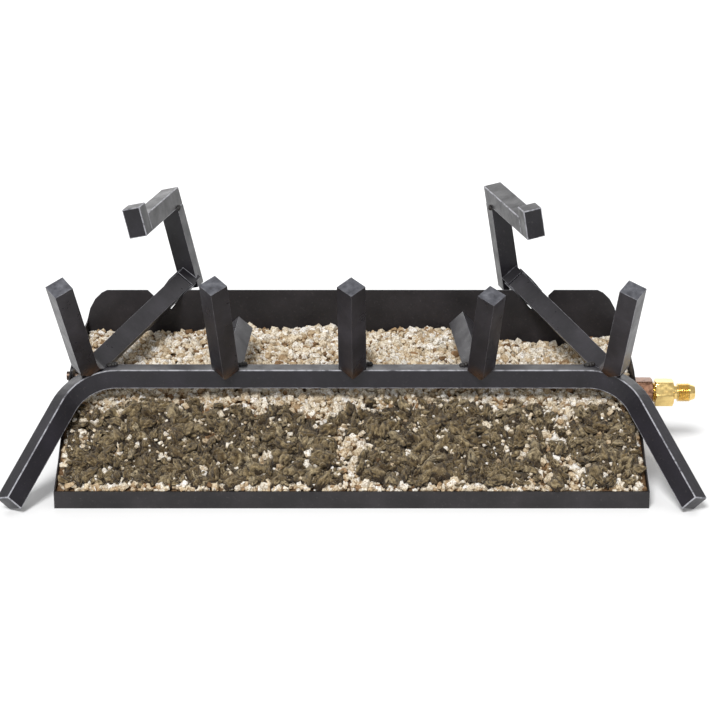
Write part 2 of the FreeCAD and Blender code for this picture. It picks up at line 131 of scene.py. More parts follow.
class Shader:
    """A Principled material and short ways to feed its inputs from nodes."""

    def __init__(self, name, **values):
        self.material = bpy.data.materials.new(name)
        self.material.use_nodes = True
        self.tree = self.material.node_tree
        self.bsdf = next(n for n in self.tree.nodes if n.type == "BSDF_PRINCIPLED")
        self.place = self.add("TexCoord").outputs["Object"]
        for key, value in values.items():
            self.bsdf.inputs[key.replace("_", " ")].default_value = value

    def add(self, kind, **settings):
        node = self.tree.nodes.new("ShaderNode" + kind)
        for key, value in settings.items():
            setattr(node, key, value)
        return node

    def link(self, source, target):
        self.tree.links.new(source, target)

    def feed(self, node, **inputs):
        """Sets or links the named inputs of a node, and gives its first output."""
        for key, value in inputs.items():
            socket = node.inputs[int(key[1:])] if key[0] == "_" else node.inputs[key.replace("_", " ")]
            if isinstance(value, bpy.types.NodeSocket):
                self.link(value, socket)
            else:
                socket.default_value = value
        return node.outputs[0]

    def noise(self, scale, detail=3.0, rough=0.55, place=None, distortion=0.0):
        return self.feed(self.add("TexNoise"), Vector=place or self.place, Scale=scale, Detail=detail,
                         Roughness=rough, Distortion=distortion)

    def cells(self, scale):
        return self.feed(self.add("TexVoronoi"), Vector=self.place, Scale=scale)

    def stretched(self, x, y, z):
        """The object coordinates, scaled unevenly."""
        return self.feed(self.add("Mapping"), Vector=self.place, Scale=(x, y, z))

    def math(self, operation, a, b):
        return self.feed(self.add("Math", operation=operation), _0=a, _1=b)

    def ramp(self, value, *stops, smooth=False):
        """Colour ramp; stops are (position, colour) or (position, grey)."""
        node = self.add("ValToRGB")
        node.color_ramp.interpolation = "EASE" if smooth else "LINEAR"
        points = node.color_ramp.elements
        while len(points) < len(stops):
            points.new(0.5)
        for point, (position, colour) in zip(points, stops):
            point.position = position
            point.color = (colour,) * 3 + (1,) if isinstance(colour, (int, float)) else tuple(colour) + (1,)
        return self.feed(node, Fac=value)

    def mix(self, factor, a, b, blend="MIX"):
        node = self.add("Mix", data_type="RGBA", blend_type=blend)
        for index, value in ((0, factor), (6, a), (7, b)):
            if isinstance(value, bpy.types.NodeSocket):
                self.link(value, node.inputs[index])
            elif index:
                node.inputs[index].default_value = tuple(value) + (1,)
            else:
                node.inputs[index].default_value = value
        return node.outputs[2]

    def attribute(self, name):
        return self.add("Attribute", attribute_name=name).outputs["Fac"]

    def bump(self, height, distance, strength=1.0, normal=None):
        node = self.add("Bump")
        self.feed(node, Height=height, Distance=distance, Strength=strength)
        if normal is not None:
            self.link(normal, node.inputs["Normal"])
        return node.outputs["Normal"]

    def finish(self, colour, roughness=None, normal=None):
        for key, value in (("Base Color", colour), ("Roughness", roughness), ("Normal", normal)):
            if value is not None:
                self.link(value, self.bsdf.inputs[key])
        return self.material


def srgb(r, g, b):
    """Linear colour from 0..255 sRGB numbers."""
    def one(v):
        v /= 255.0
        return v / 12.92 if v <= 0.04045 else ((v + 0.055) / 1.055) ** 2.4
    return (one(r), one(g), one(b))


HEAT_REACH = 22.5 * MM


def black_paint(name, tone, roughness, grain, heat_points=()):
    """Satin black heat paint: mottled tone and gloss, orange peel, dust, heat tint at some places."""
    s = Shader(name, IOR=1.45)
    cloud = s.noise(26, 4, 0.6)
    speck = s.noise(900, 2, 0.5)
    dust = s.ramp(s.noise(420, 3, 0.7), (0.60, 0.0), (0.76, 1.0))
    dark = tuple(c * 0.6 for c in tone)
    light = tuple(c * 1.7 for c in tone)
    colour = s.ramp(cloud, (0.3, dark), (0.52, tone), (0.74, light))
    colour = s.mix(s.math("MULTIPLY", dust, 0.10), colour, srgb(150, 145, 140))
    for point in heat_points:
        measure = s.add("VectorMath", operation="DISTANCE")
        s.feed(measure, _0=s.place, _1=tuple(point))
        patch = s.math("ADD", measure.outputs["Value"], s.math("MULTIPLY", s.noise(160, 3), 0.006))
        mask = s.ramp(s.math("DIVIDE", patch, HEAT_REACH), (0.35, 1.0), (1.0, 0.0), smooth=True)
        rust = s.ramp(s.noise(300, 4, 0.7), (0.35, srgb(34, 27, 20)), (0.55, srgb(84, 56, 34)),
                      (0.7, srgb(54, 46, 38)))
        colour = s.mix(s.math("MULTIPLY", mask, 0.7), colour, rust)
    rough = s.ramp(s.noise(60, 4, 0.65), (0.3, roughness - 0.08), (0.7, roughness + 0.12))
    peel = s.bump(s.noise(grain, 3, 0.6), 0.00025, 0.35)
    normal = s.bump(speck, 0.00006, 0.5, peel)
    return s.finish(colour, rough, normal)


def worn_edge_and_highlight(name, tone, rubbed):
    """Paint rubbed thin on the corners, and a lighter tone on every corner as a painted highlight line."""
    s = Shader(name)
    rub = s.ramp(s.noise(140, 4, 0.7), (0.34, tone), (0.56, rubbed))
    return s.finish(rub, s.ramp(s.noise(300), (0.3, 0.36), (0.7, 0.55)),
                    s.bump(s.noise(1200, 2), 0.00008, 0.5))


def sawn_end(name):
    """Saw marks under thin paint on the cut end of a bar."""
    s = Shader(name)
    cloud = s.ramp(s.noise(150, 4, 0.65), (0.32, srgb(56, 56, 62)), (0.55, srgb(86, 87, 93)),
                   (0.74, srgb(112, 113, 119)))
    marks = s.noise(700, 2, 0.5, s.stretched(1.0, 0.08, 0.08))
    return s.finish(cloud, s.ramp(marks, (0.3, 0.36), (0.7, 0.56)), s.bump(marks, 0.00012, 0.5))


TURNING_MARKS = 1800.0


def turned_metal(name, light, dark, roughness, stained=1.0):
    """Machined brass, bronze or steel: turning marks round X, stains, a little dulling."""
    s = Shader(name, Metallic=1.0)
    across = s.stretched(1.0, 0.04, 0.04)
    marks = s.noise(TURNING_MARKS, 2, 0.5, across)
    stain = s.noise(180, 4, 0.65)
    colour = s.mix(s.ramp(stain, (0.42, 0.0), (0.72, stained)), light, dark)
    rough = s.ramp(s.noise(240, 3), (0.3, roughness * 0.7), (0.7, roughness * 1.5))
    return s.finish(colour, rough, s.bump(marks, 0.00002, 0.6))


def vermiculite(name):
    """Exfoliated granules: cream to tan by granule, flaky layers with painted shade in the hollows of their
    bump.
    """
    s = Shader(name, Roughness=0.85)
    s.bsdf.inputs["Specular IOR Level"].default_value = 0.25
    shade = s.attribute("shade")
    # the dark end also serves as painted shade, for the bed and the granules' undersides
    colour = s.ramp(shade,
                    (0.00, srgb(92, 72, 52)), (0.06, srgb(150, 118, 84)), (0.14, srgb(190, 166, 132)),
                    (0.32, srgb(216, 199, 170)), (0.55, srgb(231, 220, 198)),
                    (0.80, srgb(243, 237, 224)), (1.00, srgb(252, 250, 245)))
    blotch = s.noise(520, 3, 0.6)
    colour = s.mix(s.ramp(blotch, (0.36, 0.7), (0.52, 0.0)), colour, srgb(156, 126, 92), "MULTIPLY")
    # darker in the hollows of the flake bump: painted shade
    flakes = s.noise(900, 3, 0.65, distortion=0.4)
    colour = s.mix(s.ramp(flakes, (0.34, 0.7), (0.45, 0.0)), colour, srgb(112, 88, 62))
    normal = s.bump(flakes, 0.0009, 1.0)
    return s.finish(colour, None, normal)


def rock_wool(name):
    """Ember wool: olive-brown fibre, with painted shade in the folds and a painted highlight on the torn
    ridges.
    """
    s = Shader(name, Roughness=0.95)
    s.bsdf.inputs["Specular IOR Level"].default_value = 0.15
    s.bsdf.inputs["Sheen Weight"].default_value = 0.15
    shade = s.attribute("shade")
    fold = s.attribute("fold")
    base = s.ramp(shade, (0.0, srgb(106, 88, 58)), (0.35, srgb(136, 116, 80)),
                  (0.7, srgb(166, 146, 108)), (1.0, srgb(200, 182, 146)))
    # painted highlight on the ridges, and painted shade, near black, deep in the folds
    painted_ridge_highlight = s.mix(s.ramp(fold, (0.88, 0.0), (1.0, 0.6)), base, srgb(214, 196, 158))
    painted_fold_shade = s.mix(s.ramp(fold, (0.64, 0.95), (0.90, 0.0)), painted_ridge_highlight, srgb(34, 22, 9))
    fibre = s.noise(520, 6, 0.8, distortion=1.4)
    colour = s.mix(s.ramp(fibre, (0.42, 0.75), (0.56, 0.0)), painted_fold_shade, srgb(56, 42, 24))
    colour = s.mix(s.ramp(s.noise(700, 4, 0.75), (0.60, 0.0), (0.68, 0.55)), colour, srgb(216, 200, 168))
    normal = s.bump(fibre, 0.0016, 1.0)
    return s.finish(colour, None, normal)


def zinc(name):
    """Zinc plate with a faint spangle."""
    s = Shader(name, Metallic=1.0)
    spangle = s.cells(420)
    return s.finish(s.ramp(spangle, (0.2, srgb(150, 148, 142)), (0.8, srgb(186, 184, 178))),
                    s.ramp(s.noise(300), (0.3, 0.32), (0.7, 0.5)), s.bump(s.noise(700), 0.00005, 0.4))


# ---- camera, light, floor ----------------------------------------------------------------------

# its place is counted from the middle of the pan's front lip, on the floor
CAMERA_AT = (PAN_MIDDLE + 8.4 * MM, PAN_FRONT - 1980.6 * MM, 797.1 * MM)
CAMERA_DOWN = math.radians(18.13)
CAMERA_LENS = 111.55
CAMERA_SHIFT = 0.0007


def add_camera():
    data = bpy.data.cameras.new("camera")
    data.sensor_width = 36.0
    data.lens = CAMERA_LENS
    data.shift_x = -CAMERA_SHIFT
    data.shift_y = CAMERA_SHIFT
    data.clip_end = 50.0
    camera = bpy.data.objects.new("camera", data)
    camera.location = CAMERA_AT
    camera.rotation_euler = (math.radians(90) - CAMERA_DOWN, 0, 0)
    bpy.context.scene.collection.objects.link(camera)
    bpy.context.scene.camera = camera


def add_sky(name, toward, strength, spread):
    """A wide even light from one direction, like a large soft box far overhead."""
    data = bpy.data.lights.new(name, "SUN")
    data.energy = strength
    data.angle = math.radians(spread)
    lamp = bpy.data.objects.new(name, data)
    lamp.rotation_euler = Vector(toward).to_track_quat("Z", "Y").to_euler()
    bpy.context.scene.collection.objects.link(lamp)


def add_panel(name, at, target, width, height, power):
    """A large soft box; behind the set it gives the top faces their sheen."""
    data = bpy.data.lights.new(name, "AREA")
    data.shape = "RECTANGLE"
    data.size, data.size_y = width, height
    data.energy = power
    lamp = bpy.data.objects.new(name, data)
    lamp.location = at
    lamp.rotation_euler = (Vector(target) - Vector(at)).to_track_quat("-Z", "Y").to_euler()
    bpy.context.scene.collection.objects.link(lamp)


WORLD_STRENGTH = 0.54
FLOOR_HALF = 9.0


def add_studio():
    """White surroundings, one high light, one light behind, and a pale floor."""
    bpy.context.scene.view_settings.view_transform = "Standard"
    world = bpy.data.worlds.new("studio")
    world.use_nodes = True
    background = world.node_tree.nodes["Background"]
    background.inputs["Color"].default_value = (1, 1, 1, 1)
    background.inputs["Strength"].default_value = WORLD_STRENGTH
    bpy.context.scene.world = world
    add_sky("overhead", (-0.28, -0.92, 1.0), 2.75, 18)
    add_panel("backdrop_light", (0, 2.7, 1.15), (0, 0, 0.1), 4.4, 1.7, 30)
    s = Shader("floor_paper", Roughness=0.9)
    tone = s.ramp(s.noise(3.0, 2), (0.3, 0.93), (0.7, 0.96))
    corners = [(x * FLOOR_HALF, y * FLOOR_HALF, 0) for x, y in ((-1, -1), (1, -1), (1, 1), (-1, 1))]
    floor = mesh_object("floor", corners, [(0, 1, 2, 3)])
    floor.data.materials.append(s.finish(tone))


# ---- CAD nodes: bars and sheets ----------------------------------------------------------------

WELD_DISTANCE = 0.01 * MM
FLAT_ANGLE = math.radians(0.4)
EDGE_ANGLE = math.radians(32)
TOP_DEPTH = 14 * MM
BAR_EDGE = 1.0 * MM


def bevel_node(name, material, edge_material, width, segments=3):
    """Gives a CAD node its finish and rounds its corners; the rounds take the worn edge material, lighter as
    a painted highlight line as well as wear.
    """
    obj = frame["nodes"][name]
    obj.data.materials.clear()
    obj.data.materials.append(material)
    obj.data.materials.append(edge_material)
    obj.data.polygons.foreach_set("use_smooth", [False] * len(obj.data.polygons))
    if "custom_normal" in obj.data.attributes:
        obj.data.attributes.remove(obj.data.attributes["custom_normal"])
    weld = obj.modifiers.new("weld", "WELD")
    weld.merge_threshold = WELD_DISTANCE
    if "post" not in name:  # on a post it leaves a dark crease across one face
        flat = obj.modifiers.new("flat", "DECIMATE")
        flat.decimate_type = "DISSOLVE"
        flat.angle_limit = FLAT_ANGLE
    bevel = obj.modifiers.new("bevel", "BEVEL")
    bevel.width = width
    bevel.segments = segments
    bevel.limit_method = "ANGLE"
    bevel.angle_limit = EDGE_ANGLE
    bevel.material = 1
    bevel.use_clamp_overlap = True
    bevel.harden_normals = False
    smooth = obj.modifiers.new("normals", "WEIGHTED_NORMAL")
    smooth.keep_sharp = True
    return obj


def mark_top_end(obj, material):
    """Puts the sawn end material on the upward faces at the very top of a bar."""
    obj.data.materials.append(material)
    top = max(v.co.z for v in obj.data.vertices)
    for face in obj.data.polygons:
        if face.center.z > top - TOP_DEPTH and face.normal.z > 0.75:
            face.material_index = 2


def lowest_front_point(name, front):
    """The lowest corner of a node ahead of a depth."""
    ahead = [v.co for v in frame["nodes"][name].data.vertices if v.co.y < front]
    return min(ahead, key=lambda point: point.z)


BAR_DEPTH = 82 * MM


def dress_bars():
    """Paint on the grate and the rear supports, with heat tint at the V bottoms of the tines."""
    heat = [lowest_front_point(name, PAN_FRONT + BAR_DEPTH) for name in GRATE_NODES if "tine" in name]
    bar = black_paint("bar_paint", srgb(24, 21, 28), 0.34, 240)
    tine = black_paint("tine_paint", srgb(43, 41, 45), 0.32, 240, heat)
    # the lighter edge tone is partly rubbed paint, partly a painted highlight line on the corners
    edge = worn_edge_and_highlight("bar_edge", srgb(70, 69, 74), srgb(158, 158, 164))
    end = sawn_end("sawn_end")
    plain_bar = black_paint("rear_bar_paint", srgb(27, 25, 30), 0.36, 240)
    for name in GRATE_NODES:
        if "weld" not in name:
            obj = bevel_node(name, tine if "tine" in name else bar, edge, BAR_EDGE)
            if "tine" in name:
                mark_top_end(obj, end)
    for name in REAR_NODES:
        if "saddle" in name:
            bevel_node(name, plain_bar, edge, 0.35 * MM, 2)
        elif "weld" not in name:
            bevel_node(name, plain_bar, edge, BAR_EDGE)


def dress_sheets():
    """Paint on the sheets, and finishes for the small parts of the burner line."""
    sheet = black_paint("sheet_paint", srgb(33, 30, 32), 0.44, 420)
    # the lighter edge tone is partly rubbed paint, partly a painted highlight line on the corners
    edge = worn_edge_and_highlight("sheet_edge", srgb(46, 44, 46), srgb(88, 88, 92))
    for name in ("burner_pan", "back_panel", "tube_bracket_left", "tube_bracket_right", "tube_end_tab"):
        bevel_node(name, sheet, edge, 0.3 * MM, 2)
    pipe = black_paint("pipe_paint", srgb(36, 34, 34), 0.5, 500)
    metal = zinc("zinc_plate")
    dull = turned_metal("screw_steel", srgb(96, 82, 72), srgb(58, 46, 38), 0.45)
    brass = turned_metal("spud_brass", srgb(226, 184, 92), srgb(170, 120, 52), 0.25)
    for name, material in (("burner_tube", pipe), ("tube_locknut", metal), ("orifice_spud", brass),
                           ("side_screw", dull)):
        node = frame["nodes"][name]
        node.data.materials.clear()
        node.data.materials.append(material)


# ---- the heap of granules ----------------------------------------------------------------------

# height of the heap by depth behind the lip, and its mounds in mm: across, height, width
HEAP_DEPTH = np.array([0, 8, 30, 60, 97, 140, 190, 250]) * MM
HEAP_HEIGHT = np.array([15.0, 19, 33, 54, 77, 88, 94, 96]) * MM
MOUNDS = [(-262, 4, 14), (-170, 4, 18), (-118, 9, 18), (-38, 9, 28), (85, 11, 32), (175, -7, 60),
          (227, -6, 14)]


def wall_half(depth):
    """Half of the pan's inside width at a depth behind the lip."""
    t = np.clip(depth / PAN_DEPTH, 0, 1)
    return WALL_FRONT_HALF + (WALL_BACK_HALF - WALL_FRONT_HALF) * t - SHEET


def heap_noise(x, y, scale, seed):
    """Soft noise over the heap, about -1 to 1; scale is in waves per metre."""
    return np.array([noise.noise(Vector((a * scale, b * scale, seed))) for a, b in zip(x, y)])


def heap_height(x, y):
    """Top of the heap at row-frame places, as numpy arrays."""
    depth = y - PAN_FRONT
    across = x - PAN_MIDDLE
    height = np.interp(depth, HEAP_DEPTH, HEAP_HEIGHT)
    back = smoothstep(0.10, 0.22, depth)
    for middle, rise, width in MOUNDS:
        height = height + back * rise * MM * np.exp(-0.5 * ((across - middle * MM) / (width * MM)) ** 2)
    lumps = heap_noise(x, y, 26, 1.5) * 2.6 * MM + heap_noise(x, y, 70, 4.5) * 1.6 * MM
    return height + lumps * smoothstep(0.0, 0.03, depth)


def wool_cover(x, y):
    """How much the wool covers a place: over 0 it does; it thins out toward the bar."""
    depth = y - PAN_FRONT
    thin = smoothstep(72 * MM, 100 * MM, depth) + smoothstep(16 * MM, 4 * MM, depth) * 0.45
    return heap_noise(x, y, 34, 12.5) + 0.75 * heap_noise(x, y, 85, 4.5) + 0.5 - thin


def bar_tree():
    """Search tree over the grate and the rear supports, to keep loose media clear of them."""
    vertices, faces = [], []
    for name in GRATE_NODES + REAR_NODES:
        mesh = frame["nodes"][name].data
        start = len(vertices)
        vertices += [v.co.copy() for v in mesh.vertices]
        faces += [[start + i for i in p.vertices] for p in mesh.polygons]
    return BVHTree.FromPolygons(vertices, faces)


BARS = bar_tree()


def clear_of_bars(places, radii, gap):
    """True where a ball at each place stays a gap clear of the bars."""
    keep = np.ones(len(places), bool)
    for k, (place, radius) in enumerate(zip(places, radii)):
        found = BARS.find_nearest(Vector(place), float(radius + gap))
        keep[k] = found[0] is None
    return keep


def block_prototypes(count, rng):
    """Low irregular blocks, unit size, each the hull of jittered corners and a few face points."""
    shapes = []
    for _ in range(count):
        size = np.array([1.0, rng.uniform(0.62, 0.95), rng.uniform(0.45, 0.8)]) / 2
        corners = np.array([[i, j, k] for i in (-1, 1) for j in (-1, 1) for k in (-1, 1)], float)
        corners *= rng.uniform(0.62, 1.0, corners.shape)
        bulge = rng.normal(size=(5, 3))
        bulge /= np.abs(bulge).max(1, keepdims=True)
        points = np.vstack([corners, bulge * rng.uniform(0.85, 1.08, (5, 1))]) * size
        bm = bmesh.new()
        for p in points:
            bm.verts.new(p)
        hull = bmesh.ops.convex_hull(bm, input=bm.verts)
        bmesh.ops.delete(bm, geom=hull["geom_interior"], context="VERTS")
        bmesh.ops.triangulate(bm, faces=bm.faces)
        bm.verts.index_update()
        shapes.append((np.array([v.co for v in bm.verts]),
                       np.array([[v.index for v in f.verts] for f in bm.faces])))
        bm.free()
    return shapes


# painted shade: how much the shade and the folds drop on the lower part of each copy
UNDERSIDE_PAINTED_SHADE = 0.8
UNDERSIDE_PAINTED_FOLD_SHADE = 0.42


def scatter(name, shapes, places, sizes, shades, rng, smooth=False, folds=None):
    """One mesh of many turned and scaled copies of a few shapes, with painted shade on their undersides."""
    turns = rotations(len(places), rng)
    choice = rng.integers(0, len(shapes), len(places))
    all_vertices, all_faces, all_shades, all_folds = [], [], [], []
    start = 0
    for k, (vertices, faces) in enumerate(shapes):
        pick = np.flatnonzero(choice == k)
        if not len(pick):
            continue
        moved = np.einsum("nij,vj->nvi", turns[pick], vertices) * sizes[pick, None, None]
        # how low each point sits on its copy, where the painted shade goes
        low = smoothstep(0.02, -0.22, moved[:, :, 2] / sizes[pick, None])
        moved += places[pick, None, :]
        n = len(vertices)
        all_vertices.append(moved.reshape(-1, 3))
        all_faces.append((faces[None] + (start + n * np.arange(len(pick)))[:, None, None]).reshape(-1, 3))
        all_shades.append((shades[pick, None] * (1 - UNDERSIDE_PAINTED_SHADE * low)).reshape(-1))
        if folds is not None:
            all_folds.append((folds[k][None] * (1 - UNDERSIDE_PAINTED_FOLD_SHADE * low)).reshape(-1))
        start += n * len(pick)
    obj = triangle_object(name, np.vstack(all_vertices), np.vstack(all_faces), smooth)
    point_attribute(obj, "shade", np.concatenate(all_shades))
    if folds is not None:
        point_attribute(obj, "fold", np.concatenate(all_folds))
    return obj


def in_pan(rng, count, front, back, margin):
    """Random places inside the pan between two depths."""
    depth = rng.uniform(front, back, count)
    across = rng.uniform(-1, 1, count) * (wall_half(depth) - margin)
    return PAN_MIDDLE + across, PAN_FRONT + depth


def piece_sizes(rng, count, median, spread, least, most):
    """Sizes in metres from millimetres: many near the median, a few large."""
    return np.clip(rng.lognormal(math.log(median), spread, count), least, most) * MM


# name, front, back in mm behind the lip, number
GRANULE_STRIPS = [("granules_front", 3.5, 40, 2300), ("granules_slope", 38, 84, 2400),
                  ("granules_middle", 82, 120, 2500), ("granules_back", 118, 180, 3800),
                  ("granules_rear", 178, 246, 4000)]
SUNK_UNDER_WOOL = 3.5 * MM
BED_DROP = 3.2 * MM
# the bed takes the dark end of the granule colours: painted shade in the gaps between granules
BED_PAINTED_SHADE = 0.02


# a granule's farthest corner, as a share of its size
GRANULE_REACH = 0.6


def push_inside(x, y, radii):
    """Moves balls that stand in the pan's walls back inside."""
    y = np.clip(y, PAN_FRONT + SHEET + radii, PAN_FRONT + PAN_DEPTH - radii)
    room = wall_half(y - PAN_FRONT) - radii
    return PAN_MIDDLE + np.clip(x - PAN_MIDDLE, -room, room), y


def add_granules(material):
    """Loose granules all over the heap, a little lower where wool lies on them."""
    rng = np.random.default_rng(SEED)
    shapes = block_prototypes(18, rng)
    for name, front, back, count in GRANULE_STRIPS:
        sizes = piece_sizes(rng, count, 5.5, 0.32, 2.4, 10.5)
        x, y = in_pan(rng, count, front * MM, back * MM, 2.5 * MM)
        x, y = push_inside(x, y, sizes * GRANULE_REACH)
        sunk = smoothstep(-0.05, 0.10, wool_cover(x, y)) * smoothstep(9 * MM, 15 * MM, y - PAN_FRONT)
        z = heap_height(x, y) + rng.uniform(-0.42, 0.30, count) * sizes - sunk * SUNK_UNDER_WOOL
        places = np.column_stack([x, y, z])
        shades = rng.beta(1.15, 0.86, count)
        keep = clear_of_bars(places, sizes * 0.5, 0.4 * MM)
        obj = scatter(name, shapes, places[keep], sizes[keep], shades[keep], rng)
        obj.data.materials.append(material)
        declare(obj, "base", "vermiculite_bed")


def add_bed(material):
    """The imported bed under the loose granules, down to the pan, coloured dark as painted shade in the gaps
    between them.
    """
    columns, rows = 230, 110
    depth = np.linspace(1.6 * MM, PAN_DEPTH - 0.6 * MM, rows)
    across = np.linspace(-1, 1, columns)
    d, a = np.meshgrid(depth, across, indexing="ij")
    x = PAN_MIDDLE + a * (wall_half(d) - 0.5 * MM)
    y = PAN_FRONT + d
    pebbles = heap_noise(x.ravel(), y.ravel(), 330, 8.5).reshape(x.shape)
    z = heap_height(x.ravel(), y.ravel()).reshape(x.shape) - BED_DROP + pebbles * 1.4 * MM
    top = np.column_stack([x.ravel(), y.ravel(), z.ravel()])
    bottom = np.column_stack([x.ravel(), y.ravel(), np.full(x.size, PAN_LOW.z + SHEET + 0.2 * MM)])
    faces = []
    for i in range(rows - 1):
        for j in range(columns - 1):
            k = i * columns + j
            faces.append((k, k + 1, k + columns + 1, k + columns))
    rim = list(range(columns)) + [i * columns + columns - 1 for i in range(1, rows)]
    rim += [(rows - 1) * columns + j for j in range(columns - 2, -1, -1)]
    rim += [i * columns for i in range(rows - 2, 0, -1)]
    lower = {k: len(top) + n for n, k in enumerate(rim)}
    skirt = bottom[rim]
    for n, k in enumerate(rim):
        after = rim[(n + 1) % len(rim)]
        faces.append((k, lower[k], lower[after], after))
    faces.append([lower[k] for k in reversed(rim)])
    obj = mesh_object("granule_bed", np.vstack([top, skirt]), faces, smooth=True)
    point_attribute(obj, "shade", np.full(len(obj.data.vertices), BED_PAINTED_SHADE))
    obj.data.materials.append(material)
    declare(obj, "base", "vermiculite_bed")


# ---- ember wool --------------------------------------------------------------------------------

def crumple(point, shift):
    """Ridged, folded noise at a point, 0 in the folds to about 1 on the ridges."""
    warp = Vector((noise.noise(point * 0.9 + shift), noise.noise(point * 0.9 - shift), 0.0)) * 1.5
    broad = 1 - 2 * abs(noise.noise(point + warp + shift))
    fine = 1 - 2 * abs(noise.noise(point * 2.6 + warp * 2 - shift))
    return 0.5 + 0.32 * broad + 0.22 * fine


def tuft_prototypes(count, rng):
    """Torn lumps of wool: a ball crumpled by ridged noise. Also gives how deep each point lies."""
    shapes, folds = [], []
    for _ in range(count):
        bm = bmesh.new()
        bmesh.ops.create_icosphere(bm, subdivisions=3, radius=0.5)
        squash = Vector((1.2, rng.uniform(0.55, 0.95), rng.uniform(0.35, 0.65)))
        shift = Vector(rng.uniform(-50, 50, 3))
        vertices, depths = [], []
        for v in bm.verts:
            p = v.co.copy()
            fold = crumple(p * 3.4, shift)
            lobes = noise.noise(p * 2.2 - shift)
            push = 0.55 * lobes + 0.85 * (fold - 0.55)
            vertices.append([c * s * (0.80 + push) for c, s in zip(p, squash)])
            depths.append(fold)
        bm.verts.index_update()
        faces = np.array([[v.index for v in f.verts] for f in bm.faces])
        bm.free()
        shapes.append((np.array(vertices), faces))
        folds.append(np.clip(depths, 0, 1))
    return shapes, folds


# name, front, back in mm behind the lip, number of lumps
WOOL_STRIPS = [("ember_wool_front", 7, 34, 480), ("ember_wool_middle", 32, 60, 530),
               ("ember_wool_back", 58, 92, 520)]
WOOL_CHIPS = 620
MAT_FRONT = 8 * MM
MAT_BACK = 94 * MM
MAT_EDGE = 5 * MM


def add_wool(material):
    """Torn lumps lying in the mat."""
    rng = np.random.default_rng(SEED + 1)
    shapes, folds = tuft_prototypes(20, rng)
    for name, front, back, count in WOOL_STRIPS:
        sizes = piece_sizes(rng, count, 9.2, 0.36, 4, 18)
        x, y = in_pan(rng, count, front * MM, back * MM, 8 * MM)
        z = heap_height(x, y) + 0.20 * sizes + rng.uniform(0, 2.0, count) * MM
        places = np.column_stack([x, y, z])
        keep = (wool_cover(x, y) > 0) & clear_of_bars(places, sizes * 0.42, 0.6 * MM)
        shades = np.clip(rng.normal(0.5, 0.24, count), 0, 1)
        obj = scatter(name, shapes, places[keep], sizes[keep], shades[keep], rng, True, folds)
        obj.data.materials.append(material)
        declare(obj, "base", "ember_wool")


def add_wool_mat(material):
    """The crumpled layer of wool the lumps sit in, darker than the lumps as painted shade between them; it
    dips into the bed where there is no wool.
    """
    columns, rows = 700, 100
    depth = np.linspace(MAT_FRONT, MAT_BACK, rows)
    d, a = np.meshgrid(depth, np.linspace(-1, 1, columns), indexing="ij")
    x = (PAN_MIDDLE + a * (wall_half(d) - 6 * MM)).ravel()
    y = (PAN_FRONT + d).ravel()
    shift = Vector((3.1, 8.7, 0.0))
    fold = np.array([crumple(Vector((p * 170, q * 170, 0.0)), shift) for p, q in zip(x, y)])
    lumps = heap_noise(x, y, 75, 21.5)
    cover = smoothstep(-0.10, 0.12, wool_cover(x, y))
    rise = cover * (1.6 * MM + 9.5 * MM * (fold - 0.62) + 3.8 * MM * lumps) - (1 - cover) * MAT_EDGE
    edge = smoothstep(0, MAT_EDGE, MAT_BACK - d.ravel())
    z = heap_height(x, y) + rise * edge - (1 - edge) * MAT_EDGE
    corner = (np.arange(rows - 1)[:, None] * columns + np.arange(columns - 1)[None]).ravel()
    triangles = np.vstack([np.column_stack([corner, corner + 1, corner + columns + 1]),
                           np.column_stack([corner, corner + columns + 1, corner + columns])])
    obj = triangle_object("ember_wool_mat", np.column_stack([x, y, z]), triangles, smooth=True)
    # deeper folds and a low shade make the mat darker: painted shade between the lumps
    point_attribute(obj, "fold", np.clip(fold * 0.84, 0, 1))
    point_attribute(obj, "shade", np.clip(0.3 + 0.5 * heap_noise(x, y, 120, 33.5), 0, 1))
    obj.data.materials.append(material)
    declare(obj, "base", "ember_wool")


def add_wool_chips(material):
    """Pale granules that rolled onto the wool."""
    rng = np.random.default_rng(SEED + 2)
    shapes = block_prototypes(12, rng)
    count = WOOL_CHIPS
    sizes = piece_sizes(rng, count, 3.6, 0.42, 1.8, 8.5)
    x, y = in_pan(rng, count, 9 * MM, 92 * MM, 7 * MM)
    x, y = push_inside(x, y, sizes * GRANULE_REACH)
    z = heap_height(x, y) + rng.uniform(2.5, 6.5, count) * MM
    places = np.column_stack([x, y, z])
    keep = clear_of_bars(places, sizes * 0.5, 0.5 * MM)
    shades = 0.15 + 0.85 * rng.beta(1.6, 1.0, count)
    obj = scatter("wool_chips", shapes, places[keep], sizes[keep], shades[keep], rng)
    obj.data.materials.append(material)
    declare(obj, "base", "ember_wool")


# ---- gas fitting -------------------------------------------------------------------------------

SEGMENTS = 144
# a hexagon's corners are turned down to this share, and its end faces to this share of the flats
CORNER_ROUND = 0.982
FACE_ROUND = 0.985
SHARP_ANGLE = math.radians(28)


def hexagon_radius(angle, across_flats):
    """Distance from a hexagon's middle to its side at an angle."""
    local = (angle + math.pi / 6) % (math.pi / 3) - math.pi / 6
    return across_flats / 2 / math.cos(local)


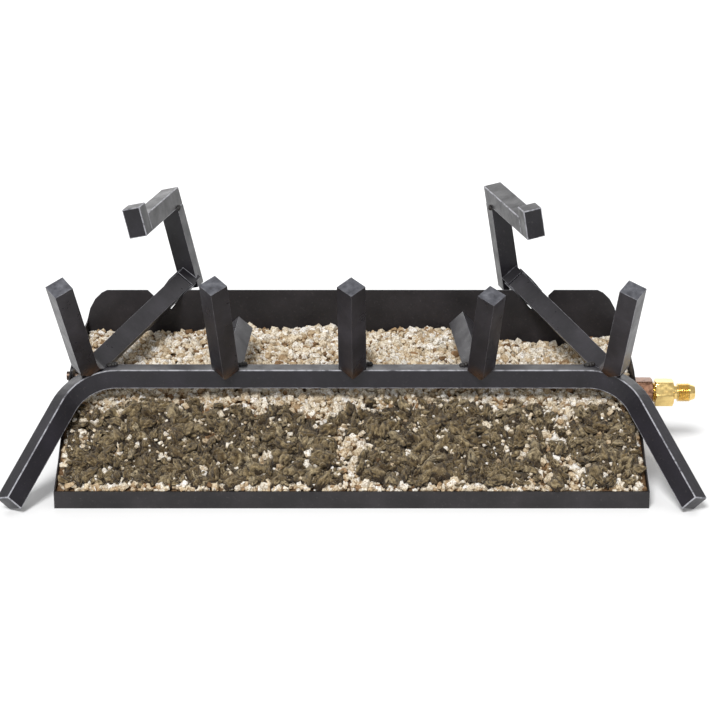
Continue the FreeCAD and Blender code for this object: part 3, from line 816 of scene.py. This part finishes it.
def lathe(name, stations, axis):
    """Surface round an X axis through (y, z) = axis. stations: (x, radius or function of angle)."""
    angles = [2 * math.pi * k / SEGMENTS for k in range(SEGMENTS)]
    vertices, faces = [], []
    for x, radius in stations:
        for angle in angles:
            r = radius(angle) if callable(radius) else radius
            vertices.append((x, axis[0] + r * math.sin(angle), axis[1] + r * math.cos(angle)))
    for i in range(len(stations) - 1):
        for k in range(SEGMENTS):
            a, b = i * SEGMENTS + k, i * SEGMENTS + (k + 1) % SEGMENTS
            faces.append((a, b, b + SEGMENTS, a + SEGMENTS))
    faces.append(list(range(SEGMENTS - 1, -1, -1)))
    last = (len(stations) - 1) * SEGMENTS
    faces.append([last + k for k in range(SEGMENTS)])
    obj = mesh_object(name, vertices, faces, smooth=True)
    bm = bmesh.new()
    bm.from_mesh(obj.data)
    bmesh.ops.recalc_face_normals(bm, faces=bm.faces)
    for e in bm.edges:
        if len(e.link_faces) == 2 and e.calc_face_angle() > SHARP_ANGLE:
            e.smooth = False
    bm.to_mesh(obj.data)
    bm.free()
    return obj


def hex_stations(start, end, across_flats):
    """Hexagon with its corners turned down toward both ends."""
    corner = across_flats / 2 / math.cos(math.pi / 6) * CORNER_ROUND
    face = across_flats / 2 * FACE_ROUND
    run = (corner - face) * 0.5
    steps = [(t * run, face + (corner - face) * t) for t in (0, 0.35, 0.7, 1.0)]

    def capped(limit):
        return lambda angle: min(hexagon_radius(angle, across_flats), limit)

    front = [(start + dx, capped(limit)) for dx, limit in steps]
    back = [(end - dx, capped(limit)) for dx, limit in reversed(steps)]
    return front + back


def thread_stations(start, end, radius, pitch, depth, step=0.16 * MM):
    """A helical thread that fades in and out at its ends."""
    count = int((end - start) / step)
    stations = []
    for k in range(count + 1):
        x = start + (end - start) * k / count
        fade = min(1.0, (x - start) / pitch, (end - x) / pitch)

        def radius_at(angle, x=x, fade=fade):
            phase = (x / pitch - angle / (2 * math.pi)) % 1.0
            tooth = 1 - abs(2 * phase - 1)
            tooth = min(max((tooth - 0.08) / 0.8, 0.0), 1.0)
            return radius - depth * (1 - tooth) * fade - depth * 0.25 * (1 - fade)

        stations.append((x, radius_at))
    return stations


INCH = 25.4 * MM


def add_flare(material, axis, mount):
    """The brass flare fitting: hexagon, neck, 3/4-16 thread, nose."""
    low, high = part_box("flare_connector")
    thread_r = mount["dims"]["r_mm"] * MM
    thread_start = mount["pos_m"][0] - mount["dims"]["length_mm"] / 2 * MM
    thread_end = mount["pos_m"][0] + mount["dims"]["length_mm"] / 2 * MM
    hex_end = thread_start - 4.1 * MM
    bore, neck, nose = 5.5 * MM, 7.0 * MM, 6.4 * MM
    stations = [(low.x, bore)]
    stations += hex_stations(low.x, hex_end, INCH)
    stations += [(hex_end, neck + 2 * MM), (hex_end + 0.3 * MM, neck + 0.4 * MM), (hex_end + 0.8 * MM, neck),
                 (thread_start - 0.2 * MM, neck)]
    stations += thread_stations(thread_start, thread_end, thread_r, INCH / 16, 0.95 * MM)
    stations += [(thread_end + 0.02 * MM, thread_r - 0.9 * MM), (thread_end + 1.2 * MM, thread_r - 1.2 * MM),
                 (high.x - 0.4 * MM, nose + 0.5 * MM), (high.x, nose), (high.x, bore + 0.4 * MM),
                 (high.x - 0.5 * MM, bore), (hex_end, bore), (hex_end, 0.3 * MM)]
    flare = lathe("flare_fitting", stations, axis)
    flare.data.materials.append(material)
    declare(flare, "base", "flare_connector")


def add_coupling(material, axis):
    """The brown hexagon coupling with a chamfered bore."""
    low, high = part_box("hex_coupling")
    flats = 2 * 15.9 * MM * math.cos(math.pi / 6)
    bore = 10.3 * MM
    stations = [(low.x + 3 * MM, bore), (low.x, bore)] + hex_stations(low.x, high.x, flats)
    stations += [(high.x, bore + 0.8 * MM), (high.x - 0.8 * MM, bore), (high.x - 4 * MM, bore)]
    coupling = lathe("coupling", stations, axis)
    coupling.data.materials.append(material)
    declare(coupling, "base", "hex_coupling")


def add_nipple(material, axis):
    """The 14 threads per inch nipple between the coupling and the flare fitting."""
    low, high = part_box("close_nipple")
    bore, root = 5.5 * MM, 9.2 * MM
    stations = [(low.x, bore), (low.x, root)]
    stations += thread_stations(low.x + 0.2 * MM, high.x - 0.5 * MM, 10.1 * MM, INCH / 14, 0.9 * MM,
                                0.3 * MM)
    stations += [(high.x, root), (high.x, bore)]
    nipple = lathe("threaded_nipple", stations, axis)
    nipple.data.materials.append(material)
    declare(nipple, "base", "close_nipple")


def add_fitting():
    """Everything the gas inlet shows outside the wall, round the inlet's axis."""
    mount = next(m for m in frame["record"]["mounts"] if m["name"] == "gas_inlet")
    axis = (mount["pos_m"][1], mount["pos_m"][2])
    brass = turned_metal("fitting_brass", srgb(244, 214, 142), srgb(186, 140, 74), 0.16, 0.45)
    bronze = turned_metal("coupling_bronze", srgb(138, 104, 84), srgb(82, 58, 46), 0.27)
    add_flare(brass, axis, mount)
    add_coupling(bronze, axis)
    add_nipple(brass, axis)


# ---- welds -------------------------------------------------------------------------------------

def weld_bead(name, node, body, length, radius, along, ripples, material, seed):
    """A rippled bead along a direction through the middle of the CAD bead."""
    low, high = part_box(node)
    middle = (low + high) / 2
    along = Vector(along).normalized()
    side = along.orthogonal().normalized()
    up = along.cross(side)
    rings, around = 8 * ripples, 20
    vertices, faces = [], []
    for i in range(rings + 1):
        t = i / rings
        ripple = abs(math.sin(math.pi * (t * ripples + 0.15)))
        taper = math.sqrt(max(0.0, 1 - (2 * t - 1) ** 4))
        for k in range(around):
            angle = 2 * math.pi * k / around
            r = radius * taper * (0.82 + 0.18 * ripple)
            r *= 1 + 0.14 * noise.noise(Vector((t * 5, math.cos(angle) * 2, math.sin(angle) * 2 + seed)))
            offset = side * math.cos(angle) * r + up * math.sin(angle) * r
            vertices.append(middle + along * (t - 0.5) * length + offset)
    for i in range(rings):
        for k in range(around):
            a, b = i * around + k, i * around + (k + 1) % around
            faces.append((a, b, b + around, a + around))
    faces.append(list(range(around - 1, -1, -1)))
    faces.append([rings * around + k for k in range(around)])
    obj = mesh_object(name, vertices, faces, smooth=True)
    obj.data.materials.append(material)
    bm = bmesh.new()
    bm.from_mesh(obj.data)
    bmesh.ops.remove_doubles(bm, verts=bm.verts, dist=1e-6)
    bmesh.ops.recalc_face_normals(bm, faces=bm.faces)
    bm.to_mesh(obj.data)
    bm.free()
    declare(obj, body, node)


def weld_material():
    """Dark weld metal with a little grey spatter."""
    s = Shader("weld_metal")
    colour = s.ramp(s.noise(260, 4, 0.7), (0.35, srgb(18, 17, 17)), (0.58, srgb(34, 29, 27)),
                    (0.78, srgb(66, 62, 60)))
    return s.finish(colour, s.ramp(s.noise(500), (0.3, 0.38), (0.7, 0.65)), s.bump(s.noise(900, 4), 0.0003))


def add_welds():
    """A bead for each CAD weld: short ones on the rear supports, longer ones beside the tines."""
    material = weld_material()
    seed = 0
    for node in frame["nodes"]:
        if "weld" not in node:
            continue
        seed += 3
        bead = node.replace("weld", "bead")
        if node.startswith("rear"):
            body = "rear_left" if node.endswith("left") else "rear_right"
            weld_bead(bead, node, body, 9 * MM, 2.6 * MM, (0.1, 1, 0.1), 3, material, seed)
        else:
            weld_bead(bead, node, "grate", 12 * MM, 3.2 * MM, (1, 0.3, 0.1), 4, material, seed)


# ---- build -------------------------------------------------------------------------------------

add_camera()
add_studio()
dress_bars()
dress_sheets()
granule_material = vermiculite("vermiculite_grain")
add_bed(granule_material)
add_granules(granule_material)
wool_material = rock_wool("ember_wool_fibre")
add_wool_mat(wool_material)
add_wool(wool_material)
add_wool_chips(granule_material)
add_fitting()
add_welds()
